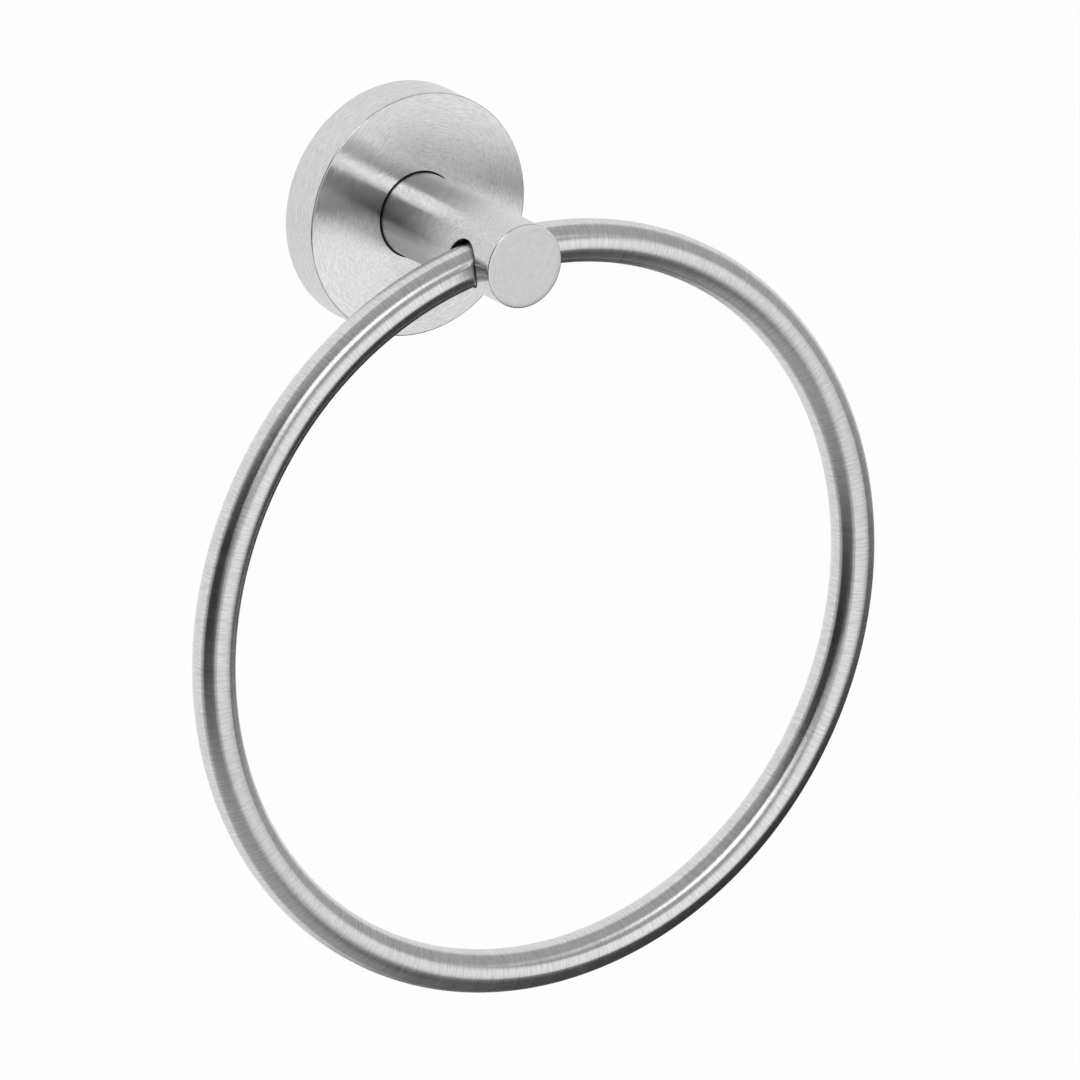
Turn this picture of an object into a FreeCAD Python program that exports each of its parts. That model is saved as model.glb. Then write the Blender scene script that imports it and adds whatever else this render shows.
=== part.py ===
import FreeCAD, Part
import math
import os
import Sketcher

# Towel ring for a wall, in millimetres. The wall is the plane y = 0 and the object stands out of it
# towards -Y, with +Z up. The origin is the centre of the flange on the wall.

doc = FreeCAD.newDocument("towel_ring")

# Driving sizes

driving_sizes = {
    # cover flange, a turned cup
    "flange_diameter": 52.0,
    "flange_depth": 10.0,
    "flange_rim_wall": 3.0,
    "flange_face_wall": 3.0,
    "flange_edge_chamfer": 0.3,
    "flange_foot_chamfer": 0.25,
    # post
    "post_diameter": 18.0,
    "post_projection": 51.0,
    "post_end_chamfer": 0.3,
    "post_foot_chamfer": 0.5,
    "post_seat_depth": 1.0,
    "post_seat_gap": 0.35,
    # ring and its bore
    "ring_bar_diameter": 9.0,
    "ring_radius": 78.0,
    "ring_setback": 10.0,
    "ring_bore_play": 0.88,
    "ring_rest_gap": 0.2,
    "bore_mouth_chamfer": 0.2,
    # bracket under the flange
    "bracket_depth": 6.0,
    "bracket_web": 3.0,
    "bracket_rim_wall": 2.0,
    "bracket_side_gap": 0.3,
    "bracket_undercut": 2.4,
    "bracket_foot": 1.0,
    "bracket_land": 0.8,
    "bracket_edge_chamfer": 0.3,
    "bracket_hole_gap": 1.0,
    "slot_spacing": 26.0,
    "slot_width": 4.8,
    "slot_length": 8.0,
    # low head screw that holds the post
    "post_screw_diameter": 6.0,
    "post_screw_length": 14.0,
    "post_screw_head_diameter": 10.0,
    "post_screw_head_height": 4.0,
    "post_screw_head_chamfer": 0.4,
    "post_screw_hex": 4.0,
    "post_screw_hex_depth": 2.3,
    "post_screw_hole_diameter": 6.6,
    "post_tap_depth": 14.0,
    # spring washer under its head
    "washer_diameter": 9.9,
    "washer_bore": 6.2,
    "washer_thickness": 1.6,
    "washer_split": 1.2,
    # grub screw in the flange's rim
    "grub_diameter": 4.0,
    "grub_length": 4.0,
    "grub_from_wall": 3.2,
    "grub_hex": 2.0,
    "grub_hex_depth": 1.8,
    "grub_point_diameter": 0.8,
    "grub_seat_gap": 0.05,
    # shared by both threads
    "thread_gap": 0.05,
    "thread_chamfer": 0.5,
}

sizes = doc.addObject("Spreadsheet::Sheet", "sizes")
for row, (alias, value) in enumerate(driving_sizes.items(), start=1):
    sizes.set("A%d" % row, alias)
    sizes.set("B%d" % row, str(value))
    sizes.setAlias("B%d" % row, alias)
doc.recompute()

# Worked-out sizes, as expressions on the sheet

flange_radius = "sizes.flange_diameter / 2"
rim_inner_radius = "(%s - sizes.flange_rim_wall)" % flange_radius
recess_depth = "(sizes.flange_depth - sizes.flange_face_wall)"
post_radius = "sizes.post_diameter / 2"
post_seat_y = "(sizes.post_seat_depth - sizes.flange_depth)"

# The bar bends down across the post, so the bore is wider than the bar by that bend and the play.
bar_radius = "sizes.ring_bar_diameter / 2"
bar_bend = "(sizes.ring_radius - sqrt(sizes.ring_radius ^ 2 - (%s) ^ 2))" % post_radius
bore_diameter = "(sizes.ring_bar_diameter + %s + sizes.ring_bore_play)" % bar_bend
bore_y = "(sizes.ring_setback - sizes.post_projection)"

# The bore's lowest line ends where it meets the post's surface. The bar rests on both of its ends.
bore_line_half = "sqrt((%s) ^ 2 - (%s / 2) ^ 2)" % (post_radius, bore_diameter)
ring_inner_radius = "(sizes.ring_radius - %s)" % bar_radius
bar_drop = "(%s - sqrt(%s ^ 2 - (%s) ^ 2))" % (ring_inner_radius, ring_inner_radius, bore_line_half)
bar_top_z = "(%s + %s + sizes.ring_rest_gap - %s / 2)" % (bar_radius, bar_drop, bore_diameter)

bracket_radius = "(%s - sizes.bracket_side_gap)" % rim_inner_radius
bracket_foot_radius = "(%s - sizes.bracket_undercut)" % bracket_radius
bracket_hole_radius = "(sizes.post_screw_head_diameter / 2 + sizes.bracket_hole_gap)"
undercut_top = "(sizes.bracket_depth - sizes.bracket_land)"
undercut_slope = "(sizes.bracket_undercut / (%s - sizes.bracket_foot))" % undercut_top

# The grub screw's point meets the undercut first with the edge that lies farther from the wall.
point_radius = "sizes.grub_point_diameter / 2"
grub_reach = "(sizes.grub_from_wall + %s - sizes.bracket_foot)" % point_radius
grub_point_radius = "(%s + %s * %s + sizes.grub_seat_gap)" % (bracket_foot_radius, undercut_slope, grub_reach)

grub_hole_diameter = "(sizes.grub_diameter + 2 * sizes.thread_gap)"
post_tap_diameter = "(sizes.post_screw_diameter + 2 * sizes.thread_gap)"
drill_point_angle = 118
drill_point_slope = 1 / math.tan(math.radians(drill_point_angle / 2))
same_place = 0.001


# Helpers

def worked(expression):
    # the present value of an expression on the sheet
    return float(sizes.evalExpression(expression.replace("sizes.", "")))


def new_body(label):
    body = doc.addObject("PartDesign::Body", label)
    body.Label = label
    return body


def new_sketch(body, plane, name, height=None):
    # a sketch on one of the body's own origin planes, or at a height along that plane's normal
    sketch = body.newObject("Sketcher::SketchObject", name)
    origin_plane = [part for part in body.Origin.OriginFeatures if part.Role == plane][0]
    sketch.AttachmentSupport = [(origin_plane, "")]
    sketch.MapMode = "FlatFace"
    if height is not None:
        sketch.setExpression("AttachmentOffset.Base.z", height)
    return sketch


def hold(sketch, kind, places, expression):
    # a dimension whose value follows the sheet
    index = sketch.addConstraint(Sketcher.Constraint(kind, *places, worked(expression)))
    sketch.setExpression("Constraints[%d]" % index, expression)


def hold_point(sketch, line, end, across, along):
    # fixes one point of the sketch by its two distances from the sketch's axes
    vertical_axis = -2
    horizontal_axis = -1
    if across == "0":
        sketch.addConstraint(Sketcher.Constraint("PointOnObject", line, end, vertical_axis))
    else:
        hold(sketch, "DistanceX", (horizontal_axis, 1, line, end), across)
    if along == "0":
        sketch.addConstraint(Sketcher.Constraint("PointOnObject", line, end, horizontal_axis))
    else:
        hold(sketch, "DistanceY", (horizontal_axis, 1, line, end), along)


def outline(sketch, corners):
    # a closed outline of straight lines through the corners, each an (across, along) pair of expressions
    points = [FreeCAD.Vector(worked(across), worked(along), 0) for across, along in corners]
    for index, point in enumerate(points):
        following = points[(index + 1) % len(points)]
        sketch.addGeometry(Part.LineSegment(point, following))
    for index, (across, along) in enumerate(corners):
        previous = (index - 1) % len(corners)
        sketch.addConstraint(Sketcher.Constraint("Coincident", previous, 2, index, 1))
        hold_point(sketch, index, 1, across, along)


def circle(sketch, diameter, across="0", along="0"):
    centre = FreeCAD.Vector(worked(across), worked(along), 0)
    index = sketch.addGeometry(Part.Circle(centre, FreeCAD.Vector(0, 0, 1), worked(diameter) / 2))
    hold(sketch, "Diameter", (index,), diameter)
    hold_point(sketch, index, 3, across, along)


def revolve(body, sketch, name):
    # turns the profile a full turn about the sketch's vertical axis
    turned = body.newObject("PartDesign::Revolution", name)
    turned.Profile = sketch
    turned.ReferenceAxis = (sketch, ["V_Axis"])
    turned.Angle = 360
    doc.recompute()
    return turned


def cut(body, sketch, name, depth=None, reverse=False, both_ways=False):
    # removes the sketch from the body, to a depth or right through, and makes sure that it did
    before = body.Shape.Volume
    pocket = body.newObject("PartDesign::Pocket", name)
    pocket.Profile = sketch
    pocket.Reversed = reverse
    pocket.SideType = "Symmetric" if both_ways else "One side"
    if depth is None:
        pocket.Type = "ThroughAll"
    else:
        pocket.Type = "Length"
        pocket.setExpression("Length", depth)
    doc.recompute()
    if not body.Shape.Volume < before:
        raise RuntimeError("%s cuts nothing" % name)
    return pocket


def chamfer(body, name, size, wanted):
    # breaks the edges of the body's shape for which wanted(edge) is true
    last = body.Tip
    edges = ["Edge%d" % number for number, edge in enumerate(last.Shape.Edges, start=1) if wanted(edge)]
    if not edges:
        raise RuntimeError("%s finds no edge" % name)
    broken = body.newObject("PartDesign::Chamfer", name)
    broken.Base = (last, edges)
    broken.setExpression("Size", size)
    doc.recompute()
    return broken


def hexagon(sketch, across_flats):
    # a regular hexagon about the sketch's origin, with two corners on the horizontal axis
    flat = "%s / 2" % across_flats
    corner = "%s / sqrt(3)" % across_flats
    half_side = "%s / 2" % corner
    outline(sketch, [
        (corner, "0"),
        (half_side, flat),
        ("-" + half_side, flat),
        ("-" + corner, "0"),
        ("-" + half_side, "-" + flat),
        (half_side, "-" + flat),
    ])


# Cover flange: a cup turned about Y, with a shallow seat for the post and a hole for its screw

cover_flange = new_body("cover_flange")
flange_profile = new_sketch(cover_flange, "XY_Plane", "flange_profile")
seat_radius = "(%s + sizes.post_seat_gap)" % post_radius
screw_hole_radius = "sizes.post_screw_hole_diameter / 2"
outline(flange_profile, [
    (screw_hole_radius, post_seat_y),
    (seat_radius, post_seat_y),
    (seat_radius, "-sizes.flange_depth"),
    ("%s - sizes.flange_edge_chamfer" % flange_radius, "-sizes.flange_depth"),
    (flange_radius, "sizes.flange_edge_chamfer - sizes.flange_depth"),
    (flange_radius, "-sizes.flange_foot_chamfer"),
    ("%s - sizes.flange_foot_chamfer" % flange_radius, "0"),
    (rim_inner_radius, "0"),
    (rim_inner_radius, "-" + recess_depth),
    (screw_hole_radius, "-" + recess_depth),
])
revolve(cover_flange, flange_profile, "flange_cup")

grub_hole_sketch = new_sketch(cover_flange, "XY_Plane", "grub_hole_sketch")
circle(grub_hole_sketch, grub_hole_diameter, "0", "-sizes.grub_from_wall")
cut(cover_flange, grub_hole_sketch, "grub_hole", depth=flange_radius)


# Wall bracket: a dished disc whose rim is undercut, so that the grub screw draws the flange to the wall

wall_bracket = new_body("wall_bracket")
bracket_profile = new_sketch(wall_bracket, "XY_Plane", "bracket_profile")
dish_radius = "(%s - sizes.bracket_rim_wall)" % bracket_foot_radius
outline(bracket_profile, [
    (bracket_hole_radius, "0"),
    (bracket_foot_radius, "0"),
    (bracket_foot_radius, "-sizes.bracket_foot"),
    (bracket_radius, "-" + undercut_top),
    (bracket_radius, "sizes.bracket_edge_chamfer - sizes.bracket_depth"),
    ("%s - sizes.bracket_edge_chamfer" % bracket_radius, "-sizes.bracket_depth"),
    (dish_radius, "-sizes.bracket_depth"),
    (dish_radius, "-sizes.bracket_web"),
    (bracket_hole_radius, "-sizes.bracket_web"),
])
revolve(wall_bracket, bracket_profile, "bracket_disc")

slot_sketch = new_sketch(wall_bracket, "XZ_Plane", "slot_sketch")
slot_centre = "sizes.slot_spacing / 2"
slot_run_half = "(sizes.slot_length - sizes.slot_width) / 2"
slot_half_width = "sizes.slot_width / 2"
slot_near = worked("%s - %s" % (slot_centre, slot_run_half))
slot_far = worked("%s + %s" % (slot_centre, slot_run_half))
slot_half = worked(slot_half_width)
sketch_normal = FreeCAD.Vector(0, 0, 1)
near_circle = Part.Circle(FreeCAD.Vector(slot_near, 0, 0), sketch_normal, slot_half)
far_circle = Part.Circle(FreeCAD.Vector(slot_far, 0, 0), sketch_normal, slot_half)
near_end = slot_sketch.addGeometry(Part.ArcOfCircle(near_circle, math.pi / 2, math.pi * 3 / 2))
far_end = slot_sketch.addGeometry(Part.ArcOfCircle(far_circle, -math.pi / 2, math.pi / 2))
upper_near = FreeCAD.Vector(slot_near, slot_half, 0)
upper_far = FreeCAD.Vector(slot_far, slot_half, 0)
lower_near = FreeCAD.Vector(slot_near, -slot_half, 0)
lower_far = FreeCAD.Vector(slot_far, -slot_half, 0)
upper_side = slot_sketch.addGeometry(Part.LineSegment(upper_far, upper_near))
lower_side = slot_sketch.addGeometry(Part.LineSegment(lower_near, lower_far))
slot_sketch.addConstraint(Sketcher.Constraint("Tangent", near_end, 1, upper_side, 2))
slot_sketch.addConstraint(Sketcher.Constraint("Tangent", near_end, 2, lower_side, 1))
slot_sketch.addConstraint(Sketcher.Constraint("Tangent", far_end, 1, lower_side, 2))
slot_sketch.addConstraint(Sketcher.Constraint("Tangent", far_end, 2, upper_side, 1))
hold_point(slot_sketch, near_end, 3, "%s - %s" % (slot_centre, slot_run_half), "0")
hold_point(slot_sketch, far_end, 3, "%s + %s" % (slot_centre, slot_run_half), "0")
hold(slot_sketch, "Radius", (near_end,), slot_half_width)
slot_cut = cut(wall_bracket, slot_sketch, "slot", both_ways=True)

second_slot = wall_bracket.newObject("PartDesign::Mirrored", "second_slot")
second_slot.Originals = [slot_cut]
second_slot.MirrorPlane = (slot_sketch, ["V_Axis"])
wall_bracket.Tip = second_slot
doc.recompute()


# Post: a bar turned about Y, tapped from behind, with a bore across it for the ring

post = new_body("post")
post_profile = new_sketch(post, "XY_Plane", "post_profile")
tap_radius = "(%s / 2)" % post_tap_diameter
tap_end = "(%s - sizes.post_tap_depth)" % post_seat_y
outline(post_profile, [
    (tap_radius, post_seat_y),
    ("%s - sizes.post_foot_chamfer" % post_radius, post_seat_y),
    (post_radius, "%s - sizes.post_foot_chamfer" % post_seat_y),
    (post_radius, "sizes.post_end_chamfer - sizes.post_projection"),
    ("%s - sizes.post_end_chamfer" % post_radius, "-sizes.post_projection"),
    ("0", "-sizes.post_projection"),
    ("0", "%s - %s * %r" % (tap_end, tap_radius, drill_point_slope)),
    (tap_radius, tap_end),
])
revolve(post, post_profile, "post_bar")

bore_sketch = new_sketch(post, "YZ_Plane", "bore_sketch")
circle(bore_sketch, bore_diameter, bore_y, "0")
cut(post, bore_sketch, "ring_bore", both_ways=True)


def bore_mouth(edge):
    # picks the two edges where the bore comes out of the post's side
    middle = edge.valueAt((edge.FirstParameter + edge.LastParameter) / 2)
    from_post_axis = math.hypot(middle.x, middle.z)
    from_bore_axis = math.hypot(middle.y - worked(bore_y), middle.z)
    on_post = abs(from_post_axis - worked(post_radius)) < same_place
    return on_post and abs(from_bore_axis - worked(bore_diameter) / 2) < same_place


chamfer(post, "bore_mouth_edge", "sizes.bore_mouth_chamfer", bore_mouth)


# Ring: a round bar bent to a closed circle, drawn about its own centre and hung in the bore

ring = new_body("ring")
ring_section = new_sketch(ring, "XY_Plane", "ring_section")
circle(ring_section, "sizes.ring_bar_diameter", "sizes.ring_radius", "0")
revolve(ring, ring_section, "ring_bar")
ring.setExpression("Placement.Base.y", bore_y)
ring.setExpression("Placement.Base.z", "%s - sizes.ring_radius" % bar_top_z)


# Post screw: low round head with a hexagon socket, driven from the flange's recess into the post.
# It is drawn about Y with the underside of its head at y = 0, and its shank towards -Y.

post_screw = new_body("post_screw")
screw_profile = new_sketch(post_screw, "XY_Plane", "screw_profile")
screw_radius = "sizes.post_screw_diameter / 2"
head_radius = "sizes.post_screw_head_diameter / 2"
outline(screw_profile, [
    ("0", "sizes.post_screw_head_height"),
    ("%s - sizes.post_screw_head_chamfer" % head_radius, "sizes.post_screw_head_height"),
    (head_radius, "sizes.post_screw_head_height - sizes.post_screw_head_chamfer"),
    (head_radius, "0"),
    (screw_radius, "0"),
    (screw_radius, "sizes.thread_chamfer - sizes.post_screw_length"),
    ("%s - sizes.thread_chamfer" % screw_radius, "-sizes.post_screw_length"),
    ("0", "-sizes.post_screw_length"),
])
revolve(post_screw, screw_profile, "screw_blank")
socket_sketch = new_sketch(post_screw, "XZ_Plane", "socket_sketch", "-sizes.post_screw_head_height")
hexagon(socket_sketch, "sizes.post_screw_hex")
cut(post_screw, socket_sketch, "hexagon_socket", depth="sizes.post_screw_hex_depth", reverse=True)
post_screw.setExpression("Placement.Base.y", "sizes.washer_thickness - %s" % recess_depth)


# Split spring washer under the head of the post screw, drawn about Y on the floor of the recess

post_lock_washer = new_body("post_lock_washer")
washer_profile = new_sketch(post_lock_washer, "XY_Plane", "washer_profile")
outline(washer_profile, [
    ("sizes.washer_bore / 2", "0"),
    ("sizes.washer_diameter / 2", "0"),
    ("sizes.washer_diameter / 2", "sizes.washer_thickness"),
    ("sizes.washer_bore / 2", "sizes.washer_thickness"),
])
revolve(post_lock_washer, washer_profile, "washer_ring")
split_sketch = new_sketch(post_lock_washer, "XZ_Plane", "split_sketch")
outline(split_sketch, [
    ("-sizes.washer_split / 2", "0"),
    ("sizes.washer_split / 2", "0"),
    ("sizes.washer_split / 2", "sizes.washer_diameter"),
    ("-sizes.washer_split / 2", "sizes.washer_diameter"),
])
cut(post_lock_washer, split_sketch, "split", both_ways=True)
post_lock_washer.setExpression("Placement.Base.y", "-" + recess_depth)


# Grub screw: cone point and hexagon socket, drawn along Z with its point up, in the underside of the rim

flange_grub_screw = new_body("flange_grub_screw")
grub_profile = new_sketch(flange_grub_screw, "XZ_Plane", "grub_profile")
grub_radius = "sizes.grub_diameter / 2"
outline(grub_profile, [
    ("0", "0"),
    ("%s - sizes.thread_chamfer" % grub_radius, "0"),
    (grub_radius, "sizes.thread_chamfer"),
    (grub_radius, "sizes.grub_length - (%s - %s)" % (grub_radius, point_radius)),
    (point_radius, "sizes.grub_length"),
    ("0", "sizes.grub_length"),
])
revolve(flange_grub_screw, grub_profile, "grub_blank")
grub_socket_sketch = new_sketch(flange_grub_screw, "XY_Plane", "grub_socket_sketch")
hexagon(grub_socket_sketch, "sizes.grub_hex")
cut(flange_grub_screw, grub_socket_sketch, "grub_socket", depth="sizes.grub_hex_depth", reverse=True)
flange_grub_screw.setExpression("Placement.Base.y", "-sizes.grub_from_wall")
flange_grub_screw.setExpression("Placement.Base.z", "-%s - sizes.grub_length" % grub_point_radius)


# Checks and files

doc.recompute()
for item in doc.Objects:
    if "Invalid" in item.State or "Error" in item.State:
        raise RuntimeError("%s is not computed: %s" % (item.Label, item.State))

pieces = [cover_flange, wall_bracket, flange_grub_screw, post, post_screw, post_lock_washer, ring]
for piece in pieces:
    if piece.Shape.isNull() or not piece.Shape.isValid():
        raise RuntimeError("%s has no valid shape" % piece.Label)

os.makedirs("parts", exist_ok=True)
for piece in pieces:
    piece.Shape.exportStep("parts/%s.step" % piece.Label)
    print("%s: %.1f mm3" % (piece.Label, piece.Shape.Volume))
print("bore diameter %.3f, bar top z %.3f" % (worked(bore_diameter), worked(bar_top_z)))
print("ring centre y %.3f, z %.3f" % (ring.Placement.Base.y, ring.Placement.Base.z))
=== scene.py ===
import math
import bmesh
import bpy
from mathutils import Matrix, Vector


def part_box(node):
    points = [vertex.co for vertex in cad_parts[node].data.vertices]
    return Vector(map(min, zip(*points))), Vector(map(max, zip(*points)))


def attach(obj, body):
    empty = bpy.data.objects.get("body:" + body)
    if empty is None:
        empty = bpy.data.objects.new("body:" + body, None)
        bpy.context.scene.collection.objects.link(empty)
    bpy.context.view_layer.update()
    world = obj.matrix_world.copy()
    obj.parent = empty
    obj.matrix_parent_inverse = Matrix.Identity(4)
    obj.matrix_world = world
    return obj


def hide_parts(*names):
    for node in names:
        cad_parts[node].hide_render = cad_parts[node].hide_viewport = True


# Wall mounted towel ring in brushed stainless steel. Metres, wall at y = 0, +Z up.

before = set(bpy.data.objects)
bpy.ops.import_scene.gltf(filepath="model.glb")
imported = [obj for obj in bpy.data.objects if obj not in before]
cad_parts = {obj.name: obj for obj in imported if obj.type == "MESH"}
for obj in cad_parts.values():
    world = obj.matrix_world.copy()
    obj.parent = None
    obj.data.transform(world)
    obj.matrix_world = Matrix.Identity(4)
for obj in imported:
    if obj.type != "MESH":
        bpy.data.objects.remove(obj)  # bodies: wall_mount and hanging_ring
bpy.context.view_layer.update()

millimetre = 0.001
print("frame loaded:", len(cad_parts), "nodes")


# Node helpers

def nodeMaker(tree):
    # function that makes nodes in one tree, each with its settings
    def add(kind, **settings):
        node = tree.nodes.new(kind)
        for key, value in settings.items():
            setattr(node, key, value)
        return node

    return add


def newNodes(owner):
    # empty node tree of a material or world, with a maker of nodes and the linking function
    owner.use_nodes = True
    tree = owner.node_tree
    tree.nodes.clear()
    return nodeMaker(tree), tree.links.new


def setInputs(node, **values):
    for key, value in values.items():
        node.inputs[key.replace("_", " ")].default_value = value


def newGroup(name, inputs, outputs):
    # shader group with number sockets, given as (name, start value) pairs
    group = bpy.data.node_groups.new(name, "ShaderNodeTree")
    for label, value in inputs:
        socket = group.interface.new_socket(label, in_out="INPUT", socket_type="NodeSocketFloat")
        socket.default_value = value
    for label in outputs:
        group.interface.new_socket(label, in_out="OUTPUT", socket_type="NodeSocketFloat")
    enter = group.nodes.new("NodeGroupInput")
    leave = group.nodes.new("NodeGroupOutput")
    add = nodeMaker(group)

    def maths(operation, first, second=None):
        # one Math node on sockets or plain numbers
        node = add("ShaderNodeMath", operation=operation)
        for index, value in enumerate((first, second)):
            if isinstance(value, (int, float)):
                node.inputs[index].default_value = value
            elif value is not None:
                group.links.new(value, node.inputs[index])
        return node.outputs[0]

    return group, enter.outputs, leave.inputs, add, group.links.new, maths


# Grain: fine brush lines that run round an axis or round a bar, with lighter and darker patches

noiseLow = 0.3
noiseHigh = 0.7


def addNoise(add, link, spot, detail, roughness):
    # noise at a spot, stretched so that the low value becomes 0 and the high one 1
    noise = add("ShaderNodeTexNoise")
    setInputs(noise, Scale=1.0, Detail=detail, Roughness=roughness)
    link(spot, noise.inputs["Vector"])
    full = add("ShaderNodeMapRange", clamp=False)
    full.inputs["From Min"].default_value = noiseLow
    full.inputs["From Max"].default_value = noiseHigh
    link(noise.outputs[0], full.inputs["Value"])
    return full.outputs[0]


def makeTurnedGrain():
    # lines run round the Y axis, on faces as circles and on sides as hoops
    patchRun = 3.0
    sockets = [("Lines", 9000.0), ("Run", 6.0), ("Patches", 120.0)]
    group, given, result, add, link, maths = newGroup("turned grain", sockets, ["Line", "Patch"])
    place = add("ShaderNodeTexCoord").outputs["Object"]
    split = add("ShaderNodeSeparateXYZ")
    link(place, split.inputs[0])
    x, y, z = split.outputs
    radius = maths("SQRT", maths("ADD", maths("MULTIPLY", x, x), maths("MULTIPLY", z, z)))
    safeRadius = maths("MAXIMUM", radius, 0.1 * millimetre)
    across = maths("SUBTRACT", radius, y)
    roundX = maths("DIVIDE", x, safeRadius)
    roundZ = maths("DIVIDE", z, safeRadius)
    spot = add("ShaderNodeCombineXYZ")
    link(maths("MULTIPLY", roundX, given["Run"]), spot.inputs[0])
    link(maths("MULTIPLY", roundZ, given["Run"]), spot.inputs[1])
    link(maths("MULTIPLY", across, given["Lines"]), spot.inputs[2])
    link(addNoise(add, link, spot.outputs[0], detail=3.0, roughness=0.6), result["Line"])
    patchSpot = add("ShaderNodeCombineXYZ")
    link(maths("MULTIPLY", roundX, patchRun), patchSpot.inputs[0])
    link(maths("MULTIPLY", roundZ, patchRun), patchSpot.inputs[1])
    link(maths("MULTIPLY", across, given["Patches"]), patchSpot.inputs[2])
    link(addNoise(add, link, patchSpot.outputs[0], detail=2.0, roughness=0.5), result["Patch"])
    return group


def makeHoopGrain(centre, hoopRadius):
    # lines run round the bar of the ring, and follow each other along the hoop
    patchRun = 120.0
    sockets = [("Lines", 5000.0), ("Run", 300.0), ("Patches", 90.0)]
    group, given, result, add, link, maths = newGroup("hoop grain", sockets, ["Line", "Patch"])
    place = add("ShaderNodeTexCoord").outputs["Object"]
    shift = add("ShaderNodeMapping")
    setInputs(shift, Location=(0.0, -centre.y, -centre.z))
    link(place, shift.inputs[0])
    split = add("ShaderNodeSeparateXYZ")
    link(shift.outputs[0], split.inputs[0])
    x, y, z = split.outputs
    # the angle starts at the ring's lowest point, so it jumps only at the top, inside the bore
    angle = maths("ARCTAN2", x, maths("MULTIPLY", z, -1.0))
    length = maths("MULTIPLY", angle, hoopRadius)
    radius = maths("SQRT", maths("ADD", maths("MULTIPLY", x, x), maths("MULTIPLY", z, z)))
    height = maths("SUBTRACT", radius, hoopRadius)
    spot = add("ShaderNodeCombineXYZ")
    link(maths("MULTIPLY", height, given["Run"]), spot.inputs[0])
    link(maths("MULTIPLY", y, given["Run"]), spot.inputs[1])
    link(maths("MULTIPLY", length, given["Lines"]), spot.inputs[2])
    link(addNoise(add, link, spot.outputs[0], detail=3.0, roughness=0.65), result["Line"])
    patchSpot = add("ShaderNodeCombineXYZ")
    link(maths("MULTIPLY", height, patchRun), patchSpot.inputs[0])
    link(maths("MULTIPLY", y, patchRun), patchSpot.inputs[1])
    link(maths("MULTIPLY", length, given["Patches"]), patchSpot.inputs[2])
    link(addNoise(add, link, patchSpot.outputs[0], detail=2.0, roughness=0.5), result["Patch"])
    return group


def makeSteel(name, grain, finish):
    # one steel finish: lines in colour and bump, patches in colour and roughness, and a stretched gloss
    material = bpy.data.materials.new(name)
    add, link = newNodes(material)
    grainNode = add("ShaderNodeGroup", node_tree=grain)
    setInputs(grainNode, Lines=finish["lines"], Run=finish["run"], Patches=finish["patches"])
    mixed = add("ShaderNodeMath", operation="MULTIPLY_ADD")
    mixed.inputs[1].default_value = 1 - finish["mottle"]
    link(grainNode.outputs["Line"], mixed.inputs[0])
    clouds = add("ShaderNodeMath", operation="MULTIPLY")
    clouds.inputs[1].default_value = finish["mottle"]
    link(grainNode.outputs["Patch"], clouds.inputs[0])
    link(clouds.outputs[0], mixed.inputs[2])
    tone = add("ShaderNodeMix", data_type="RGBA")
    tone.inputs[6].default_value = (*[finish["shade"] * (1 - finish["contrast"])] * 3, 1)
    tone.inputs[7].default_value = (*[finish["shade"] * (1 + finish["contrast"])] * 3, 1)
    link(mixed.outputs[0], tone.inputs[0])
    gloss = add("ShaderNodeMapRange")
    gloss.inputs["To Min"].default_value = finish["roughness"] - finish["roughnessSpread"]
    gloss.inputs["To Max"].default_value = finish["roughness"] + finish["roughnessSpread"]
    link(grainNode.outputs["Patch"], gloss.inputs["Value"])
    bump = add("ShaderNodeBump")
    setInputs(bump, Strength=finish["bump"], Distance=finish["bumpDepth"])
    link(grainNode.outputs["Line"], bump.inputs["Height"])
    shader = add("ShaderNodeBsdfPrincipled")
    setInputs(shader, Metallic=1.0, Anisotropic=finish["stretch"], Anisotropic_Rotation=finish["turn"])
    link(tone.outputs[2], shader.inputs["Base Color"])
    link(gloss.outputs[0], shader.inputs["Roughness"])
    link(bump.outputs[0], shader.inputs["Normal"])
    if finish["stretch"] > 0:
        tangent = add("ShaderNodeTangent", direction_type="RADIAL", axis="Y")
        link(tangent.outputs[0], shader.inputs["Tangent"])
    output = add("ShaderNodeOutputMaterial")
    link(shader.outputs[0], output.inputs[0])
    return material


# Mesh helpers

sharpAngle = math.radians(30)
mergeDistance = 0.001 * millimetre
closeBy = 0.01 * millimetre
roundSteps = 4
faceWeight = 80


def finishMesh(mesh, name, materials, body):
    # turns the bmesh into a piece that rides on a body, smooth apart from its sharp edges
    bmesh.ops.remove_doubles(mesh, verts=mesh.verts, dist=mergeDistance)
    bmesh.ops.recalc_face_normals(mesh, faces=mesh.faces)
    for face in mesh.faces:
        face.smooth = True
    data = bpy.data.meshes.new(name)
    mesh.to_mesh(data)
    mesh.free()
    data.set_sharp_from_angle(angle=sharpAngle)
    for material in materials:
        data.materials.append(material)
    piece = bpy.data.objects.new(name, data)
    bpy.context.scene.collection.objects.link(piece)
    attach(piece, body)
    return piece


def turnProfile(corners, steps, cuts):
    # profile of (radius, y) corners turned about Y, with cuts along the lines that end at some of its corners
    # it closes on itself unless it starts and ends on the axis
    mesh = bmesh.new()
    points = [mesh.verts.new((radius, y, 0)) for radius, y in corners]
    first = 1 if corners[0][0] == corners[-1][0] == 0 else 0
    lines = {index: mesh.edges.new((points[index - 1], points[index])) for index in range(first, len(points))}
    for index, count in cuts.items():
        bmesh.ops.subdivide_edges(mesh, edges=[lines[index]], cuts=count)
    bmesh.ops.spin(mesh, geom=mesh.verts[:] + mesh.edges[:], cent=(0, 0, 0), axis=(0, 1, 0),
                   angle=2 * math.pi, steps=steps, use_merge=True)
    bmesh.ops.remove_doubles(mesh, verts=mesh.verts, dist=mergeDistance)
    return mesh


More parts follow.
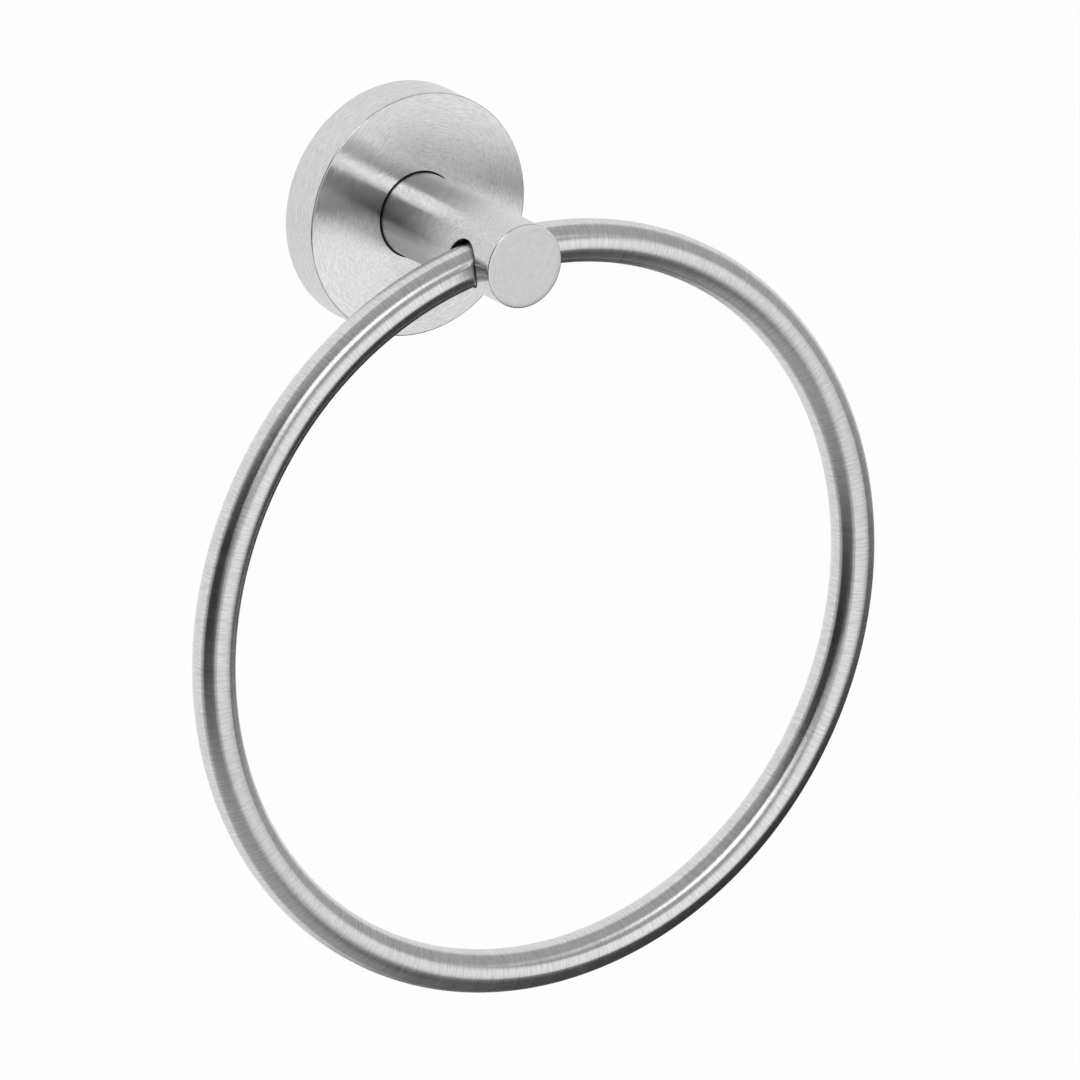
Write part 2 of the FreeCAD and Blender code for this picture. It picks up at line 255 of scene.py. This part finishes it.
def roundLoop(mesh, radius, y, width):
    # rounds the circular edge at a radius and a depth
    def onLoop(vert):
        fromAxis = math.hypot(vert.co.x, vert.co.z)
        return abs(fromAxis - radius) < closeBy and abs(vert.co.y - y) < closeBy

    loop = [edge for edge in mesh.edges if all(onLoop(vert) for vert in edge.verts)]
    bmesh.ops.bevel(mesh, geom=loop, offset=width, offset_type="OFFSET", segments=roundSteps,
                    profile=0.5, affect="EDGES", material=-1, clamp_overlap=False)


def applyModifiers(piece):
    bpy.context.view_layer.update()
    graph = bpy.context.evaluated_depsgraph_get()
    result = bpy.data.meshes.new_from_object(piece.evaluated_get(graph))
    piece.modifiers.clear()
    piece.data = result


def cutAway(piece, cutter):
    # subtracts one closed shape from a piece for good
    knife = piece.modifiers.new("cut", "BOOLEAN")
    knife.operation = "DIFFERENCE"
    knife.solver = "EXACT"
    knife.object = cutter
    applyModifiers(piece)
    bpy.data.objects.remove(cutter)
    piece.data.set_sharp_from_angle(angle=sharpAngle)


def makeCutter(mesh):
    # a closed shape that only cuts
    for face in mesh.faces:
        face.smooth = True
    data = bpy.data.meshes.new("cutter")
    mesh.to_mesh(data)
    mesh.free()
    cutter = bpy.data.objects.new("cutter", data)
    bpy.context.scene.collection.objects.link(cutter)
    return cutter


def evenNormals(piece):
    # flat faces keep one direction right up to their rounded edges
    weigh = piece.modifiers.new("even normals", "WEIGHTED_NORMAL")
    weigh.keep_sharp = True
    weigh.weight = faceWeight
    applyModifiers(piece)


# Ring: a round bar bent to a hoop, hanging in the post's bore

ringLow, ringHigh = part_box("ring")
ring = {
    "barDiameter": 9 * millimetre,
    "hoopRadius": 78 * millimetre,
    "barSegments": 48,
    "hoopSegments": 360,
    "centre": Vector((0, (ringLow.y + ringHigh.y) / 2, (ringLow.z + ringHigh.z) / 2)),
}
ringFinish = {
    "shade": 0.66,
    "contrast": 0.17,
    "mottle": 0.2,
    "roughness": 0.245,
    "roughnessSpread": 0.015,
    "stretch": 1.0,
    "turn": 0.0,
    "bump": 0.12,
    "bumpDepth": 0.012 * millimetre,
    "lines": 2400.0,
    "run": 260.0,
    "patches": 260.0,
}


def makeRing():
    grain = makeHoopGrain(ring["centre"], ring["hoopRadius"])
    steel = makeSteel("brushed steel bar", grain, ringFinish)
    mesh = bmesh.new()
    section = Matrix.Translation(ring["centre"] + Vector((ring["hoopRadius"], 0, 0)))
    bmesh.ops.create_circle(mesh, segments=ring["barSegments"], radius=ring["barDiameter"] / 2,
                            matrix=section)
    bmesh.ops.spin(mesh, geom=mesh.verts[:] + mesh.edges[:], cent=ring["centre"], axis=(0, 1, 0),
                   angle=2 * math.pi, steps=ring["hoopSegments"], use_merge=True)
    piece = finishMesh(mesh, "ring_bar", [steel], "hanging_ring")
    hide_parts("ring")
    return piece


makeRing()
print("ring made")


# Cover flange: a turned cup with a seat for the post, and the grub screw's hole in the underside of its rim

flangeLow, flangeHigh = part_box("cover_flange")
grubLow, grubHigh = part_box("flange_grub_screw")
postLow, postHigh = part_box("post")
flange = {
    "radius": flangeHigh.x,
    "depth": -flangeLow.y,
    "rimWall": 3 * millimetre,
    "faceWall": 3 * millimetre,
    "edgeRound": 0.3 * millimetre,
    "footRound": 0.25 * millimetre,
    "seatDepth": 1 * millimetre,
    "seatGap": 0.35 * millimetre,
    "screwHoleRadius": 3.3 * millimetre,
    "grubHoleRadius": 2.05 * millimetre,
    "grubHoleSegments": 48,
    "segments": 256,
    "outsideCuts": 11,
    "insideCuts": 7,
}
turnedFinish = {
    "shade": 0.66,
    "contrast": 0.15,
    "mottle": 0.07,
    "roughness": 0.22,
    "roughnessSpread": 0.015,
    "stretch": 0.94,
    "turn": 0.25,
    "bump": 0.08,
    "bumpDepth": 0.005 * millimetre,
    "lines": 3600.0,
    "run": 14.0,
    "patches": 500.0,
}
# painted shade: near-black, rough steel for the walls and floor of the post's seat, standing in for the
# shadow in the gap round the post's foot
paintedShadeFinish = turnedFinish | {"shade": 0.06, "roughness": 0.7, "stretch": 0.0}
turnedGrain = makeTurnedGrain()
turnedSteel = makeSteel("brushed steel turned", turnedGrain, turnedFinish)
paintedShadeSteel = makeSteel("painted shade in the seat", turnedGrain, paintedShadeFinish)


def makeFlange():
    front = -flange["depth"]
    seat = front + flange["seatDepth"]
    recess = front + flange["faceWall"]
    seatRadius = postHigh.x + flange["seatGap"]
    rimInside = flange["radius"] - flange["rimWall"]
    mesh = turnProfile([
        (flange["screwHoleRadius"], seat),
        (seatRadius, seat),
        (seatRadius, front),
        (flange["radius"], front),
        (flange["radius"], 0),
        (rimInside, 0),
        (rimInside, recess),
        (flange["screwHoleRadius"], recess),
    ], flange["segments"], cuts={4: flange["outsideCuts"], 6: flange["insideCuts"]})
    roundLoop(mesh, flange["radius"], front, flange["edgeRound"])
    roundLoop(mesh, flange["radius"], 0, flange["footRound"])
    # the seat's walls and floor take the painted shade; the rest of the cup takes the turned steel
    for face in mesh.faces:
        middle = face.calc_center_median()
        fromAxis = math.hypot(middle.x, middle.z)
        inPaintedShade = fromAxis < seatRadius + closeBy and middle.y < recess - millimetre
        face.material_index = 1 if inPaintedShade else 0
    piece = finishMesh(mesh, "flange_cup", [turnedSteel, paintedShadeSteel], "wall_mount")
    hole = bmesh.new()
    place = Matrix.Translation((0, (grubLow.y + grubHigh.y) / 2, -flange["radius"]))
    bmesh.ops.create_cone(hole, cap_ends=True, segments=flange["grubHoleSegments"],
                          radius1=flange["grubHoleRadius"], radius2=flange["grubHoleRadius"],
                          depth=flange["radius"], matrix=place)
    cutAway(piece, makeCutter(hole))
    evenNormals(piece)
    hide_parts("cover_flange")
    return piece


makeFlange()
print("flange made")


# Post: a turned bar, tapped from behind, with the ring's bore across it

post = {
    "radius": postHigh.x,
    "foot": postHigh.y,
    "end": postLow.y,
    "endRound": 0.3 * millimetre,
    "footRound": 0.5 * millimetre,
    "tapRadius": 3.05 * millimetre,
    "tapDepth": 14 * millimetre,
    "boreRadius": 5.2 * millimetre,
    "mouthBreak": 0.2 * millimetre,
    "mouthFlare": 1.0 * millimetre,
    "cutterReach": 1.5 * postHigh.x,
    "drillAngle": 118,
    "segments": 192,
    "boreSegments": 160,
    "sideCuts": 60,
    "endCuts": 6,
}
# the post's end face: a faced finish with plain gloss, and a colour darker than the turned steel's, which is
# painted shade that dims the end's reflection
facedAndShadedFinish = turnedFinish | {
    "shade": 0.56,
    "contrast": 0.12,
    "mottle": 0.3,
    "roughness": 0.3,
    "stretch": 0.0,
    "run": 4.0,
    "patches": 900.0,
}
facedAndShadedSteel = makeSteel("brushed steel faced with painted shade", turnedGrain, facedAndShadedFinish)


def makeBoreCutter():
    # round bar across the post that flares where it leaves the post's skin, which breaks the mouths' edges
    mesh = bmesh.new()
    bmesh.ops.create_cone(mesh, cap_ends=True, segments=post["boreSegments"], radius1=post["boreRadius"],
                          radius2=post["boreRadius"], depth=2, matrix=Matrix.Rotation(math.pi / 2, 4, "Y"))
    lengthwise = [edge for edge in mesh.edges if abs(edge.verts[0].co.x - edge.verts[1].co.x) > 1]
    bmesh.ops.subdivide_edges(mesh, edges=lengthwise, cuts=4)
    grown = 1 + (post["mouthBreak"] + post["mouthFlare"]) / post["boreRadius"]
    for vert in mesh.verts:
        side = math.copysign(1, vert.co.x)
        station = abs(vert.co.x)  # 0.2 inside the mouth, 0.6 just outside it, 1 at the bar's end
        skin = math.sqrt(post["radius"] ** 2 - vert.co.z ** 2)
        if station < 0.5:
            vert.co.x = side * (skin - post["mouthBreak"])
        else:
            vert.co.x = side * (skin + post["mouthFlare"] if station < 0.8 else post["cutterReach"])
            vert.co.y *= grown
            vert.co.z *= grown
    bmesh.ops.translate(mesh, verts=mesh.verts, vec=(0, ring["centre"].y, 0))
    return makeCutter(mesh)


def makePost():
    tapEnd = post["foot"] - post["tapDepth"]
    drillPoint = tapEnd - post["tapRadius"] / math.tan(math.radians(post["drillAngle"] / 2))
    mesh = turnProfile([
        (0, drillPoint),
        (post["tapRadius"], tapEnd),
        (post["tapRadius"], post["foot"]),
        (post["radius"], post["foot"]),
        (post["radius"], post["end"]),
        (0, post["end"]),
    ], post["segments"], cuts={4: post["sideCuts"], 5: post["endCuts"]})
    roundLoop(mesh, post["radius"], post["end"], post["endRound"])
    roundLoop(mesh, post["radius"], post["foot"], post["footRound"])
    # the end face takes the faced steel with its painted shade
    for face in mesh.faces:
        face.material_index = 1 if face.calc_center_median().y < post["end"] + closeBy else 0
    piece = finishMesh(mesh, "post_bar", [turnedSteel, facedAndShadedSteel], "wall_mount")
    cutAway(piece, makeBoreCutter())
    evenNormals(piece)
    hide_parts("post")
    return piece


makePost()
print("post made")


# Hidden fixing: the machined bracket and the plain stainless fasteners keep their own shapes

machinedFinish = {
    "shade": 0.5,
    "contrast": 0.15,
    "mottle": 0.4,
    "roughness": 0.38,
    "roughnessSpread": 0.05,
    "stretch": 0.4,
    "turn": 0.25,
    "bump": 0.4,
    "bumpDepth": 0.02 * millimetre,
    "lines": 2500.0,
    "run": 4.0,
    "patches": 300.0,
}
fastenerFinish = {
    "shade": 0.45,
    "contrast": 0.1,
    "mottle": 0.5,
    "roughness": 0.3,
    "roughnessSpread": 0.06,
    "stretch": 0.0,
    "turn": 0.0,
    "bump": 0.2,
    "bumpDepth": 0.01 * millimetre,
    "lines": 3000.0,
    "run": 12.0,
    "patches": 700.0,
}
machinedSteel = makeSteel("machined steel", turnedGrain, machinedFinish)
fastenerSteel = makeSteel("plain fastener steel", turnedGrain, fastenerFinish)
hiddenFinishes = {
    "wall_bracket": machinedSteel,
    "flange_grub_screw": fastenerSteel,
    "post_screw": fastenerSteel,
    "post_lock_washer": fastenerSteel,
}
for nodeName, steel in hiddenFinishes.items():
    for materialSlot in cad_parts[nodeName].material_slots:
        materialSlot.material = steel
print("bracket and fasteners finished")


# Studio: white surroundings, and a grey dome, dark flags and soft boxes that the camera doesn't see

studio = {
    "aim": Vector((10.3, -28.89, -70.0)) * millimetre,
    "floorDrop": 25.0,
    "floorRadius": 240.0,
    "floorWhite": 0.975,
    "floorPaint": 0.85,
    "airShade": 0.55,
    "domeRadius": 24.0,
    "domeOpening": 0.25,
    "domeShade": 0.5,
    "flagDistance": 23.0,
    "flagStep": 1.0,
    "boxDistance": 10.0,
}
# places as seen from the object, sizes as angles; each flag hangs in front of the one before
# these round values were chosen near those of a layout that a program had fitted to the photograph
flags = {
    "left_flag": {"azimuth": -60, "elevation": 10, "width": 60, "height": 70, "shade": 0.0},
    "floor_flag": {"azimuth": 90, "elevation": -55, "width": 90, "height": 70, "shade": 0.05},
}
softBoxes = {
    "front_box": {"azimuth": 20, "elevation": -10, "width": 75, "height": 45, "level": 0.7},
    "key_box": {"azimuth": -15, "elevation": 40, "width": 30, "height": 15, "level": 3.0},
}


def direction(azimuth, elevation):
    # azimuth 0 points out of the wall and 90 to the right, elevation upwards, in degrees
    a = math.radians(azimuth)
    e = math.radians(elevation)
    return Vector((math.sin(a) * math.cos(e), -math.cos(a) * math.cos(e), math.sin(e)))


def seenDirectly(add, link):
    # 1 for rays that show the surroundings as they are: from the camera, or mirrored, or through glass
    path = add("ShaderNodeLightPath")
    either = add("ShaderNodeMath", operation="MAXIMUM")
    link(path.outputs["Is Camera Ray"], either.inputs[0])
    link(path.outputs["Is Glossy Ray"], either.inputs[1])
    any3 = add("ShaderNodeMath", operation="MAXIMUM")
    link(either.outputs[0], any3.inputs[0])
    link(path.outputs["Is Transmission Ray"], any3.inputs[1])
    return any3.outputs[0]


def addStage(mesh, name, material):
    # part of the studio, not of the object
    data = bpy.data.meshes.new(name)
    mesh.to_mesh(data)
    mesh.free()
    data.materials.append(material)
    thing = bpy.data.objects.new(name, data)
    bpy.context.scene.collection.objects.link(thing)
    return thing


def onlyReflected(thing):
    # the object mirrors it, but it casts no shadow and no light and stays out of the picture
    thing.visible_camera = False
    thing.visible_diffuse = False
    thing.visible_transmission = False
    thing.visible_volume_scatter = False
    thing.visible_shadow = False


def makeWorld():
    world = bpy.data.worlds.new("studio air")
    world.cycles.sampling_method = "NONE"  # so that the dome and the flags hide it fully
    add, link = newNodes(world)
    white = add("ShaderNodeBackground")
    setInputs(white, Color=(1, 1, 1, 1), Strength=1.0)
    air = add("ShaderNodeBackground")
    setInputs(air, Color=(*[studio["airShade"]] * 3, 1), Strength=1.0)
    choose = add("ShaderNodeMixShader")
    link(seenDirectly(add, link), choose.inputs[0])
    link(air.outputs[0], choose.inputs[1])
    link(white.outputs[0], choose.inputs[2])
    output = add("ShaderNodeOutputWorld")
    link(choose.outputs[0], output.inputs[0])
    bpy.context.scene.world = world


def makeFloor():
    material = bpy.data.materials.new("pale floor")
    add, link = newNodes(material)
    paint = add("ShaderNodeBsdfDiffuse")
    setInputs(paint, Color=(*[studio["floorPaint"]] * 3, 1))
    white = add("ShaderNodeEmission")
    setInputs(white, Color=(1, 1, 1, 1), Strength=1.0)
    share = add("ShaderNodeMath", operation="MULTIPLY")
    share.inputs[1].default_value = studio["floorWhite"]
    link(seenDirectly(add, link), share.inputs[0])
    choose = add("ShaderNodeMixShader")
    link(share.outputs[0], choose.inputs[0])
    link(paint.outputs[0], choose.inputs[1])
    link(white.outputs[0], choose.inputs[2])
    output = add("ShaderNodeOutputMaterial")
    link(choose.outputs[0], output.inputs[0])
    mesh = bmesh.new()
    bmesh.ops.create_circle(mesh, cap_ends=True, segments=64, radius=studio["floorRadius"],
                            matrix=Matrix.Translation((0, 0, studio["aim"].z - studio["floorDrop"])))
    addStage(mesh, "studio_floor", material)


def makePaper(name, shade):
    # evenly lit paper of one shade
    material = bpy.data.materials.new(name)
    add, link = newNodes(material)
    paper = add("ShaderNodeEmission")
    setInputs(paper, Color=(1, 1, 1, 1), Strength=shade)
    output = add("ShaderNodeOutputMaterial")
    link(paper.outputs[0], output.inputs[0])
    material.cycles.emission_sampling = "NONE"
    return material


def hang(place):
    # turn that faces the object from a place in the studio
    return direction(place["azimuth"], place["elevation"]).to_track_quat("Z", "Y").to_matrix().to_4x4()


def makeDome():
    # open at the back; from elsewhere the metal mirrors the dome in place of the white surroundings
    mesh = bmesh.new()
    bmesh.ops.create_uvsphere(mesh, u_segments=64, v_segments=32, radius=studio["domeRadius"],
                              matrix=Matrix.Translation(studio["aim"]))
    opening = studio["aim"] + Vector((0, studio["domeOpening"] * studio["domeRadius"], 0))
    bmesh.ops.bisect_plane(mesh, geom=mesh.verts[:] + mesh.edges[:] + mesh.faces[:], dist=millimetre,
                           plane_co=opening, plane_no=(0, 1, 0), clear_outer=True)
    onlyReflected(addStage(mesh, "grey_dome", makePaper("grey dome", studio["domeShade"])))


def makeFlag(name, flag, distance):
    # a sheet bent to a sphere round the object
    mesh = bmesh.new()
    bmesh.ops.create_grid(mesh, x_segments=24, y_segments=24, size=1)
    for vert in mesh.verts:
        across = math.tan(math.radians(flag["width"] / 2) * vert.co.x)
        upward = math.tan(math.radians(flag["height"] / 2) * vert.co.y)
        vert.co = Vector((across, upward, 1)).normalized() * distance
    turned = Matrix.Translation(studio["aim"]) @ hang(flag)
    bmesh.ops.transform(mesh, matrix=turned, verts=mesh.verts)
    onlyReflected(addStage(mesh, name, makePaper(name.replace("_", " "), flag["shade"])))


def makeSoftBox(name, box):
    lamp = bpy.data.lights.new(name, "AREA")
    lamp.shape = "RECTANGLE"
    lamp.size = 2 * studio["boxDistance"] * math.tan(math.radians(box["width"] / 2))
    lamp.size_y = 2 * studio["boxDistance"] * math.tan(math.radians(box["height"] / 2))
    lamp.energy = box["level"] * math.pi * lamp.size * lamp.size_y  # watts that give this level on its face
    thing = bpy.data.objects.new(name, lamp)
    place = direction(box["azimuth"], box["elevation"]) * studio["boxDistance"]
    thing.matrix_world = Matrix.Translation(studio["aim"] + place) @ hang(box)
    thing.visible_camera = False
    bpy.context.scene.collection.objects.link(thing)


makeWorld()
makeFloor()
makeDome()
nextDistance = studio["flagDistance"]
for flagName, flagPlace in flags.items():
    makeFlag(flagName, flagPlace, nextDistance)
    nextDistance -= studio["flagStep"]
for boxName, boxPlace in softBoxes.items():
    makeSoftBox(boxName, boxPlace)


# Camera without perspective at the photograph's angle; its values and aim come from a fit to the outlines

camera = {
    "azimuth": -30.608,
    "elevation": 21.297,
    "roll": -5.598,
    "distance": 9.0,
    "pixelsPerMetre": 4855.0,
    "frameWidth": 1080,
    "clipStart": 0.1,
    "clipEnd": 1000,
}


def makeCamera():
    data = bpy.data.cameras.new("photo camera")
    data.type = "ORTHO"
    data.ortho_scale = camera["frameWidth"] / camera["pixelsPerMetre"]
    data.clip_start = camera["clipStart"]
    data.clip_end = camera["clipEnd"]
    view = bpy.data.objects.new("photo camera", data)
    back = direction(camera["azimuth"], camera["elevation"])
    facing = (-back).to_track_quat("-Z", "Y").to_matrix().to_4x4()
    roll = Matrix.Rotation(math.radians(camera["roll"]), 4, "Z")
    view.matrix_world = Matrix.Translation(studio["aim"] + back * camera["distance"]) @ facing @ roll
    bpy.context.scene.collection.objects.link(view)
    bpy.context.scene.camera = view


makeCamera()
bpy.context.scene.view_settings.view_transform = "Standard"
print("studio set")

bpy.context.view_layer.update()
